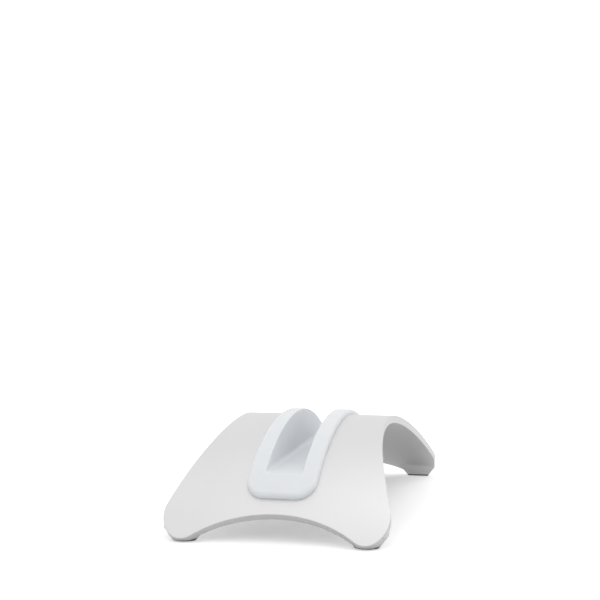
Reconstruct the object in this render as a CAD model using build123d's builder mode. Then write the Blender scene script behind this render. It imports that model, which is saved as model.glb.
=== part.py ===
# Vertical laptop stand: a metal arch on four toes, with a soft insert in its slot and rubber pads below
# Frame, in mm: Z up, the desk is Z = 0, the arch runs along Y and is symmetric about X = 0 and about Y = 0
import os
from math import asin, cos, degrees, hypot, radians, sin, tan

from build123d import *

# Arch body: a sheet whose outer face runs in a wide arc over the crest and in a tighter one down the legs
SHEET_THICKNESS = 4.0
CREST_HEIGHT = 45.6       # outer face at the middle of the arch
CREST_RADIUS = 146.0
CREST_HALF_SPAN = 56.4    # along Y, from the crest to where the legs' arcs begin
LEG_RADIUS = 124.0
LEG_END_SLOPE = 60.0      # degrees, where the arcs are ended, past the tips of the feet
SHEET_EDGE_ROUND = 0.3

# The sheet's outline seen from above: hollow sides and hollow ends, joined by round feet
WAIST_HALF_WIDTH = 38.2   # at the crest
END_DISTANCE = 90.8       # from the middle of the stand to the middle of an end
FOOT_X = 41.9             # centre of a foot's rounding
FOOT_Y = 90.9
FOOT_RADIUS = 10.2

# Toe under each foot: a cone about the foot's centre, flat on its inner side, that ends in a rubber pad
TOE_RADIUS = 6.1          # on the desk
TOE_LEAN = 35.0           # degrees that the cone leans out
TOE_INNER_Y = 93.6        # on the desk
TOE_INNER_LEAN = 15.0     # degrees that the flat inner side leans in
TOE_HEIGHT = 9.0          # before the sheet's underside cuts it
PAD_THICKNESS = 0.8

# Slot in the sheet
SLOT_HALF_WIDTH = 11.8
SLOT_HALF_LENGTH = 76.0
SLOT_CORNER = 7.0

# Soft insert that is pushed into the slot: a rim on the sheet, a lip under it, and a trough between them
PUSH_FIT = 0.1            # gap between the insert and the slot's wall
RIM_HALF_WIDTH = 16.5
RIM_HALF_LENGTH = 84.0
RIM_CORNER = 9.0
RIM_HEIGHT = 2.8          # above the sheet
RIM_ROUND = 2.0
LIP_OVERHANG = 1.4        # how far the lip reaches past the slot
LIP_THICKNESS = 1.5
TROUGH_WIDTH = 17.4
TROUGH_FLOOR = 28.0       # height of the floor that carries the edge of a laptop
TROUGH_WALL = 3.0
TROUGH_HALF_LENGTH = 66.5
TROUGH_MOUTH_ROUND = 0.8
TROUGH_FLOOR_ROUND = 2.0
TROUGH_KEEL_ROUND = 1.5

# Blocks that are cut back reach this far past the piece, and edges this near a plane count as on it
SPARE = 10.0
NEAR = 0.1
FACES_UP = 0.5            # a face looks up if its unit normal has more than this along Z

# Sizes that follow from those above: each hollow arc is tangent to the feet that it joins
TOE_TOP_RADIUS = FOOT_RADIUS - SHEET_EDGE_ROUND
FOOT_REACH_X = FOOT_X + FOOT_RADIUS
SIDE_STEP = FOOT_X - WAIST_HALF_WIDTH
END_STEP = FOOT_Y - END_DISTANCE
SIDE_RADIUS = (FOOT_Y**2 + SIDE_STEP**2 - FOOT_RADIUS**2) / (2 * (FOOT_RADIUS + SIDE_STEP))
END_RADIUS = (FOOT_X**2 + END_STEP**2 - FOOT_RADIUS**2) / (2 * (FOOT_RADIUS + END_STEP))
CREST_END_SLOPE = degrees(asin(CREST_HALF_SPAN / CREST_RADIUS))
LEG_TURN = LEG_END_SLOPE - CREST_END_SLOPE
CREST_CENTRE_Z = CREST_HEIGHT - CREST_RADIUS
LEG_CENTRE_Y = (CREST_RADIUS - LEG_RADIUS) * sin(radians(CREST_END_SLOPE))
LEG_CENTRE_Z = CREST_CENTRE_Z + (CREST_RADIUS - LEG_RADIUS) * cos(radians(CREST_END_SLOPE))


def foot_point(toward_x, toward_y):
    """Point of the +X +Y foot's rounding that lies on the way from its centre to another point."""
    step_x = toward_x - FOOT_X
    step_y = toward_y - FOOT_Y
    reach = FOOT_RADIUS / hypot(step_x, step_y)
    return FOOT_X + reach * step_x, FOOT_Y + reach * step_y


def slot_like(larger):
    """Plan outline of the slot, made larger or smaller all round."""
    with BuildSketch() as plan:
        width = 2 * (SLOT_HALF_WIDTH + larger)
        length = 2 * (SLOT_HALF_LENGTH + larger)
        RectangleRounded(width, length, SLOT_CORNER + larger)
    return plan.sketch


def arch_faces(plan):
    """The pieces of the arch's outer face that lie above a plan outline."""
    with BuildPart() as block:
        with BuildSketch():
            add(plan)
        extrude(amount=CREST_HEIGHT + SPARE)
        add(under_arch.part, mode=Mode.INTERSECT)
    return block.faces().filter_by(lambda face: face.normal_at().Z > FACES_UP)


def is_rim(edge):
    """True for a long edge that isn't a line across the stand where two arcs of the bend meet."""
    is_join = edge.geom_type == GeomType.LINE and abs(edge.center().Y) < CREST_HALF_SPAN + RIM_HEIGHT
    return edge.length > SHEET_THICKNESS + NEAR and not is_join


def toe_slice(bottom, top):
    """The +X +Y toe between two heights."""
    widening = tan(radians(TOE_LEAN))
    inner_lean = radians(TOE_INNER_LEAN)
    inner_side = Plane((0, TOE_INNER_Y, 0), x_dir=(1, 0, 0), z_dir=(0, cos(inner_lean), sin(inner_lean)))
    from_bottom = (Align.CENTER, Align.CENTER, Align.MIN)
    with BuildPart() as piece:
        with Locations((FOOT_X, FOOT_Y, bottom)):
            height = top - bottom
            Cone(TOE_RADIUS + bottom * widening, TOE_RADIUS + top * widening, height, align=from_bottom)
            Cylinder(TOE_TOP_RADIUS, height, align=from_bottom, mode=Mode.INTERSECT)
        split(bisect_by=inner_side, keep=Keep.TOP)
    return piece.part


# All that lies under the arch's outer face
with BuildPart() as under_arch:
    with BuildSketch(Plane.YZ.offset(-FOOT_REACH_X - SPARE)):
        with BuildLine():
            far = CenterArc((LEG_CENTRE_Y, LEG_CENTRE_Z), LEG_RADIUS, 90 - LEG_END_SLOPE, LEG_TURN)
            CenterArc((0, CREST_CENTRE_Z), CREST_RADIUS, 90 - CREST_END_SLOPE, 2 * CREST_END_SLOPE)
            near = CenterArc((-LEG_CENTRE_Y, LEG_CENTRE_Z), LEG_RADIUS, 90 + CREST_END_SLOPE, LEG_TURN)
            Line(near @ 1, far @ 0)
        make_face()
    extrude(amount=2 * (FOOT_REACH_X + SPARE))

# Outline of the sheet in plan
SIDE_X, SIDE_Y = foot_point(WAIST_HALF_WIDTH + SIDE_RADIUS, 0)
END_X, END_Y = foot_point(0, END_DISTANCE + END_RADIUS)
BULGE_X, BULGE_Y = foot_point(2 * FOOT_X, FOOT_X + FOOT_Y)
with BuildSketch() as sheet_plan:
    with BuildLine():
        for side in (1, -1):
            ThreePointArc((side * SIDE_X, -SIDE_Y), (side * WAIST_HALF_WIDTH, 0), (side * SIDE_X, SIDE_Y))
            ThreePointArc((-END_X, side * END_Y), (0, side * END_DISTANCE), (END_X, side * END_Y))
            for end in (1, -1):
                ThreePointArc(
                    (side * SIDE_X, end * SIDE_Y),
                    (side * BULGE_X, end * BULGE_Y),
                    (side * END_X, end * END_Y),
                )
    make_face()
    add(slot_like(0), mode=Mode.SUBTRACT)

os.makedirs("parts", exist_ok=True)

# Toes: their tops end within the sheet
with BuildPart() as toes:
    add(toe_slice(PAD_THICKNESS, TOE_HEIGHT))
    with Locations((0, 0, -SHEET_THICKNESS / 2)):
        add(under_arch.part, mode=Mode.INTERSECT)
    mirror(about=Plane.YZ)
    mirror(about=Plane.XZ)

# Arch body: one thickness under the outer face, so all its edges stand square to the sheet, and the toes.
# The feet are milled level for the pads
with BuildPart() as arch_body:
    thicken(arch_faces(sheet_plan.sketch), amount=-SHEET_THICKNESS)
    fillet(arch_body.edges().filter_by(is_rim), SHEET_EDGE_ROUND)
    add(toes.part)
    split(bisect_by=Plane.XY.offset(PAD_THICKNESS), keep=Keep.TOP)
arch_body.part.label = "arch_body"
export_step(arch_body.part, "parts/arch_body.step")

# Lip of the insert: a layer on the sheet's underside, round the slot
with BuildPart() as lip:
    thicken(arch_faces(slot_like(LIP_OVERHANG)), amount=-SHEET_THICKNESS - LIP_THICKNESS)
    thicken(arch_faces(slot_like(SPARE)), amount=-SHEET_THICKNESS, mode=Mode.SUBTRACT)

# Body of the insert's trough: it hangs under the crest and runs out into the sheet towards its ends
with BuildPart() as trough:
    with BuildSketch(Plane.XZ.offset(-TROUGH_HALF_LENGTH)):
        with Locations((0, TROUGH_FLOOR - TROUGH_WALL)):
            keel = Rectangle(TROUGH_WIDTH + 2 * TROUGH_WALL, CREST_HEIGHT, align=(Align.CENTER, Align.MIN))
        fillet(keel.vertices().group_by(Axis.Z)[0], TROUGH_KEEL_ROUND)
    extrude(amount=2 * TROUGH_HALF_LENGTH)
    add(under_arch.part, mode=Mode.INTERSECT)

# Slot insert: rim, plug through the slot, lip and trough in one, with a level groove along it
with BuildSketch() as rim_plan:
    RectangleRounded(2 * RIM_HALF_WIDTH, 2 * RIM_HALF_LENGTH, RIM_CORNER)
with BuildPart() as slot_insert:
    thicken(arch_faces(rim_plan.sketch), amount=RIM_HEIGHT)
    rim_top = slot_insert.faces().filter_by(lambda face: face.normal_at().Z > FACES_UP)
    fillet(rim_top.edges().filter_by(is_rim), RIM_ROUND)
    thicken(arch_faces(slot_like(-PUSH_FIT)), amount=-SHEET_THICKNESS - LIP_THICKNESS)
    add(lip.part)
    add(trough.part)
    with BuildSketch(Plane.XZ.offset(-RIM_HALF_LENGTH - SPARE)):
        with Locations((0, TROUGH_FLOOR)):
            groove = Rectangle(TROUGH_WIDTH, CREST_HEIGHT, align=(Align.CENTER, Align.MIN))
        fillet(groove.vertices().group_by(Axis.Z)[0], TROUGH_FLOOR_ROUND)
    extrude(amount=2 * (RIM_HALF_LENGTH + SPARE), mode=Mode.SUBTRACT)
    mouth = slot_insert.edges().filter_by(
        lambda edge: edge.geom_type != GeomType.LINE
        and abs(abs(edge.center().X) - TROUGH_WIDTH / 2) < NEAR
        and edge.bounding_box().size.X < NEAR
    )
    fillet(mouth, TROUGH_MOUTH_ROUND)
slot_insert.part.label = "slot_insert"
export_step(slot_insert.part, "parts/slot_insert.step")

# Foot pads: the lowest slice of each toe, of rubber
for end_name, end in (("far", 1), ("near", -1)):
    for side_name, side in (("right", 1), ("left", -1)):
        name = f"foot_pad_{end_name}_{side_name}"
        with BuildPart() as foot_pad:
            add(toe_slice(0, PAD_THICKNESS))
            if side < 0:
                mirror(about=Plane.YZ, mode=Mode.REPLACE)
            if end < 0:
                mirror(about=Plane.XZ, mode=Mode.REPLACE)
        foot_pad.part.label = name
        export_step(foot_pad.part, f"parts/{name}.step")
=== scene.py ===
# Vertical laptop stand: finishes, studio and camera for the CAD model, in metres
from math import pi, radians

import bpy
from mathutils import Matrix, Vector

MM = 0.001

# Camera, fitted to the stand's edges in the photograph
CAMERA_PLACE = (0.1349, -0.6710, 0.1341)
CAMERA_YAW = 11.995       # degrees to the left of the groove's direction
CAMERA_PITCH = 2.41       # degrees downwards
CAMERA_ROLL = -0.17       # degrees
FOCAL_PIXELS = 1335.7
IMAGE_PIXELS = 600
SENSOR_WIDTH = 36.0       # mm

# Floor. From FADE_START to FADE_END it runs into the white background, and the fade is twice as long along
# the stand as beside it. FLOOR_LIFTS holds how much it is lightened at the stand and from FADE_END on, for
# each kind of ray that sees it: to the camera all of its lit part is white, and in the metal its far part.
FLOOR_SIZE = 12.0
FADE_START = 0.03
FADE_END = 0.16
FADE_SQUEEZE = (1.0, 0.5, 1.0)
FLOOR_LIFTS = {
    "Is Camera Ray": (0.18, 1.0),
    "Is Glossy Ray": (0.0, 0.10),
    "Is Transmission Ray": (0.0, 0.10),
}

# Light: an evenly white room, which the metal mirrors, and a weak soft lamp overhead
ROOM = 1.0
BACKGROUND = 1.05         # as the camera sees it, just over white to keep the picture's borders clean
LAMP_PLACE = (0.14, -0.06, 0.55)
LAMP_SIZE = 0.4
LAMP_WATTS = 0.34

# Colours as they look, sRGB
ALUMINIUM = "#e0dfe0"
ALUMINIUM_CLOUD = "#dcdbdc"
SILICONE = "#dfe1e3"
SILICONE_CLOUD = "#dadde0"
RUBBER = "#4a4a4d"
RUBBER_BLOOM = "#5c5c60"
FLOOR = "#ebebeb"

# Sizes of the finishes' patterns
BLAST_GRAIN = 0.5 * MM    # the pits are about 0.1 mm, and are drawn five times as coarse so that they show
BLAST_DEPTH = 0.05 * MM
BLAST_DRIFT = 30 * MM     # slow drifts in the blasting
MOULD_GRAIN = 0.4 * MM    # the spark-eroded grain is near 0.1 mm, and is drawn four times as coarse
MOULD_DEPTH = 0.04 * MM
MILK_CLOUD = 12 * MM
LIGHT_SOAK = 0.5 * MM     # how far light runs in the silicone
SAND_GRAIN = 0.4 * MM
SAND_DEPTH = 0.06 * MM

# Roughness, from the smoother to the rougher spots
ALUMINIUM_ROUGHNESS = (0.42, 0.54)
SILICONE_ROUGHNESS = (0.42, 0.52)
RUBBER_ROUGHNESS = 0.75
NOISE_SPAN = (0.3, 0.7)   # nearly all values of a noise pattern lie in this span


def linear(colour):
    """RGBA in Blender's linear light from an sRGB hex colour."""
    parts = [int(colour[i:i + 2], 16) / 255 for i in (1, 3, 5)]
    return [c / 12.92 if c <= 0.04045 else ((c + 0.055) / 1.055) ** 2.4 for c in parts] + [1.0]


def add_node(tree, kind, inputs=None, **settings):
    """A new shader node. Inputs are constants or other nodes' outputs, by socket name or number."""
    node = tree.nodes.new(kind)
    for name, value in settings.items():
        setattr(node, name, value)
    for name, value in (inputs or {}).items():
        if isinstance(value, bpy.types.NodeSocket):
            tree.links.new(value, node.inputs[name])
        else:
            node.inputs[name].default_value = value
    return node


def new_material(name):
    """An empty node material and its tree."""
    material = bpy.data.materials.new(name)
    material.use_nodes = True
    material.node_tree.nodes.clear()
    return material, material.node_tree


def blasted_aluminium():
    """Bead-blasted, clear anodised aluminium: bright satin grey, a fine sandy grain, soft reflections."""
    material, tree = new_material("blasted_anodised_aluminium")
    place = add_node(tree, "ShaderNodeTexCoord").outputs["Object"]
    grain = add_node(tree, "ShaderNodeTexNoise", {"Vector": place, "Scale": 1 / BLAST_GRAIN, "Detail": 3.0})
    drift = add_node(tree, "ShaderNodeTexNoise", {"Vector": place, "Scale": 1 / BLAST_DRIFT, "Detail": 2.0})
    colour = add_node(
        tree,
        "ShaderNodeMix",
        {"Factor": drift.outputs["Fac"], "A": linear(ALUMINIUM), "B": linear(ALUMINIUM_CLOUD)},
        data_type="RGBA",
    )
    rough = add_node(
        tree,
        "ShaderNodeMapRange",
        {
            "Value": grain.outputs["Fac"],
            "From Min": NOISE_SPAN[0],
            "From Max": NOISE_SPAN[1],
            "To Min": ALUMINIUM_ROUGHNESS[0],
            "To Max": ALUMINIUM_ROUGHNESS[1],
        },
    )
    bump = add_node(
        tree,
        "ShaderNodeBump",
        {"Height": grain.outputs["Fac"], "Strength": 0.15, "Distance": BLAST_DEPTH},
    )
    shader = add_node(
        tree,
        "ShaderNodeBsdfPrincipled",
        {
            "Base Color": colour.outputs["Result"],
            "Metallic": 1.0,
            "Roughness": rough.outputs["Result"],
            "Normal": bump.outputs["Normal"],
        },
    )
    add_node(tree, "ShaderNodeOutputMaterial", {"Surface": shader.outputs[0]})
    return material


def milky_silicone():
    """Moulded translucent silicone: a cool milky white that light soaks into, with a dull, dry face."""
    material, tree = new_material("milky_silicone")
    place = add_node(tree, "ShaderNodeTexCoord").outputs["Object"]
    cloud = add_node(tree, "ShaderNodeTexNoise", {"Vector": place, "Scale": 1 / MILK_CLOUD, "Detail": 3.0})
    grain = add_node(tree, "ShaderNodeTexNoise", {"Vector": place, "Scale": 1 / MOULD_GRAIN, "Detail": 2.0})
    colour = add_node(
        tree,
        "ShaderNodeMix",
        {"Factor": cloud.outputs["Fac"], "A": linear(SILICONE), "B": linear(SILICONE_CLOUD)},
        data_type="RGBA",
    )
    rough = add_node(
        tree,
        "ShaderNodeMapRange",
        {
            "Value": cloud.outputs["Fac"],
            "From Min": NOISE_SPAN[0],
            "From Max": NOISE_SPAN[1],
            "To Min": SILICONE_ROUGHNESS[0],
            "To Max": SILICONE_ROUGHNESS[1],
        },
    )
    bump = add_node(
        tree,
        "ShaderNodeBump",
        {"Height": grain.outputs["Fac"], "Strength": 0.12, "Distance": MOULD_DEPTH},
    )
    shader = add_node(
        tree,
        "ShaderNodeBsdfPrincipled",
        {
            "Base Color": colour.outputs["Result"],
            "Roughness": rough.outputs["Result"],
            "IOR": 1.41,
            "Subsurface Weight": 0.8,
            "Subsurface Radius": (0.9, 1.0, 1.0),
            "Subsurface Scale": LIGHT_SOAK,
            "Normal": bump.outputs["Normal"],
        },
    )
    add_node(tree, "ShaderNodeOutputMaterial", {"Surface": shader.outputs[0]})
    return material


def pad_rubber():
    """Die-cut dark rubber: matt, with a pale bloom in specks and a finely sanded face."""
    material, tree = new_material("sanded_rubber")
    place = add_node(tree, "ShaderNodeTexCoord").outputs["Object"]
    grain = add_node(tree, "ShaderNodeTexNoise", {"Vector": place, "Scale": 1 / SAND_GRAIN, "Detail": 4.0})
    colour = add_node(
        tree,
        "ShaderNodeMix",
        {"Factor": grain.outputs["Fac"], "A": linear(RUBBER), "B": linear(RUBBER_BLOOM)},
        data_type="RGBA",
    )
    bump = add_node(
        tree,
        "ShaderNodeBump",
        {"Height": grain.outputs["Fac"], "Strength": 0.3, "Distance": SAND_DEPTH},
    )
    shader = add_node(
        tree,
        "ShaderNodeBsdfPrincipled",
        {
            "Base Color": colour.outputs["Result"],
            "Roughness": RUBBER_ROUGHNESS,
            "IOR": 1.52,
            "Normal": bump.outputs["Normal"],
        },
    )
    add_node(tree, "ShaderNodeOutputMaterial", {"Surface": shader.outputs[0]})
    return material


def white_floor():
    """Matt white paper that keeps the stand's shadow."""
    material, tree = new_material("white_paper_floor")
    paper = add_node(tree, "ShaderNodeBsdfDiffuse", {"Color": linear(FLOOR)})
    place = add_node(tree, "ShaderNodeTexCoord").outputs["Object"]
    squeezed = add_node(tree, "ShaderNodeVectorMath", {0: place, 1: FADE_SQUEEZE}, operation="MULTIPLY")
    distance = add_node(tree, "ShaderNodeVectorMath", {0: squeezed.outputs[0]}, operation="LENGTH")
    path = add_node(tree, "ShaderNodeLightPath")
    shader = paper
    for ray, (near_lift, far_lift) in FLOOR_LIFTS.items():
        fade = add_node(
            tree,
            "ShaderNodeMapRange",
            {
                "Value": distance.outputs["Value"],
                "From Min": FADE_START,
                "From Max": FADE_END,
                "To Min": near_lift,
                "To Max": far_lift,
            },
            interpolation_type="SMOOTHSTEP",
        )
        lift = add_node(
            tree,
            "ShaderNodeMath",
            {0: path.outputs[ray], 1: fade.outputs["Result"]},
            operation="MULTIPLY",
        )
        glow = add_node(tree, "ShaderNodeEmission", {"Strength": lift.outputs[0]})
        shader = add_node(tree, "ShaderNodeAddShader", {0: shader.outputs[0], 1: glow.outputs[0]})
    add_node(tree, "ShaderNodeOutputMaterial", {"Surface": shader.outputs[0]})
    return material


def dress(node_name, material):
    """Give a CAD node its material."""
    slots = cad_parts[node_name].data.materials
    slots.clear()
    slots.append(material)


def lay_floor():
    """The white floor under the stand."""
    bpy.ops.object.select_all(action="DESELECT")
    bpy.ops.mesh.primitive_plane_add(size=FLOOR_SIZE)
    floor = bpy.context.object
    floor.name = "floor"
    floor.data.materials.append(white_floor())


def white_room():
    """An evenly white world that lights the stand and shows in its metal."""
    world = bpy.data.worlds.new("studio")
    world.use_nodes = True
    tree = world.node_tree
    tree.nodes.clear()
    path = add_node(tree, "ShaderNodeLightPath")
    strength = add_node(
        tree,
        "ShaderNodeMapRange",
        {"Value": path.outputs["Is Camera Ray"], "To Min": ROOM, "To Max": BACKGROUND},
    )
    white = add_node(
        tree,
        "ShaderNodeBackground",
        {"Color": (1, 1, 1, 1), "Strength": strength.outputs["Result"]},
    )
    add_node(tree, "ShaderNodeOutputWorld", {"Surface": white.outputs[0]})
    bpy.context.scene.world = world


def top_lamp():
    """A square soft light that looks at the stand."""
    light = bpy.data.lights.new("top_light", "AREA")
    light.size = LAMP_SIZE
    light.energy = LAMP_WATTS
    lamp = bpy.data.objects.new("top_light", light)
    bpy.context.scene.collection.objects.link(lamp)
    lamp.location = LAMP_PLACE
    lamp.rotation_euler = (-Vector(LAMP_PLACE)).to_track_quat("-Z", "Y").to_euler()


def photo_camera():
    """A camera at the photograph's viewpoint, with its angle of view."""
    lens = bpy.data.cameras.new("photo_camera")
    lens.sensor_width = SENSOR_WIDTH
    lens.lens = FOCAL_PIXELS * SENSOR_WIDTH / IMAGE_PIXELS
    camera = bpy.data.objects.new("photo_camera", lens)
    bpy.context.scene.collection.objects.link(camera)
    camera.location = CAMERA_PLACE
    yaw = Matrix.Rotation(radians(CAMERA_YAW), 3, "Z")
    pitch = Matrix.Rotation(pi / 2 - radians(CAMERA_PITCH), 3, "X")
    roll = Matrix.Rotation(radians(CAMERA_ROLL), 3, "Z")
    camera.rotation_euler = (yaw @ pitch @ roll).to_euler()
    bpy.context.scene.camera = camera


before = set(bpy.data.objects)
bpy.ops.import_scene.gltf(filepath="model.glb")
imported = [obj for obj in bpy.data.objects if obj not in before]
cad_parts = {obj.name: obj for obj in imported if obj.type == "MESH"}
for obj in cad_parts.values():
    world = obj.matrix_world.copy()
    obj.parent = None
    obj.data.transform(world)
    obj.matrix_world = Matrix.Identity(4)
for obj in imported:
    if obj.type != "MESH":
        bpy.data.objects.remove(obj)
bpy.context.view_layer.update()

# Finishes
dress("arch_body", blasted_aluminium())
dress("slot_insert", milky_silicone())
rubber = pad_rubber()
for node_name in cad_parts:
    if node_name.startswith("foot_pad"):
        dress(node_name, rubber)

# Studio
lay_floor()
white_room()
top_lamp()
photo_camera()
bpy.context.scene.view_settings.view_transform = "Standard"
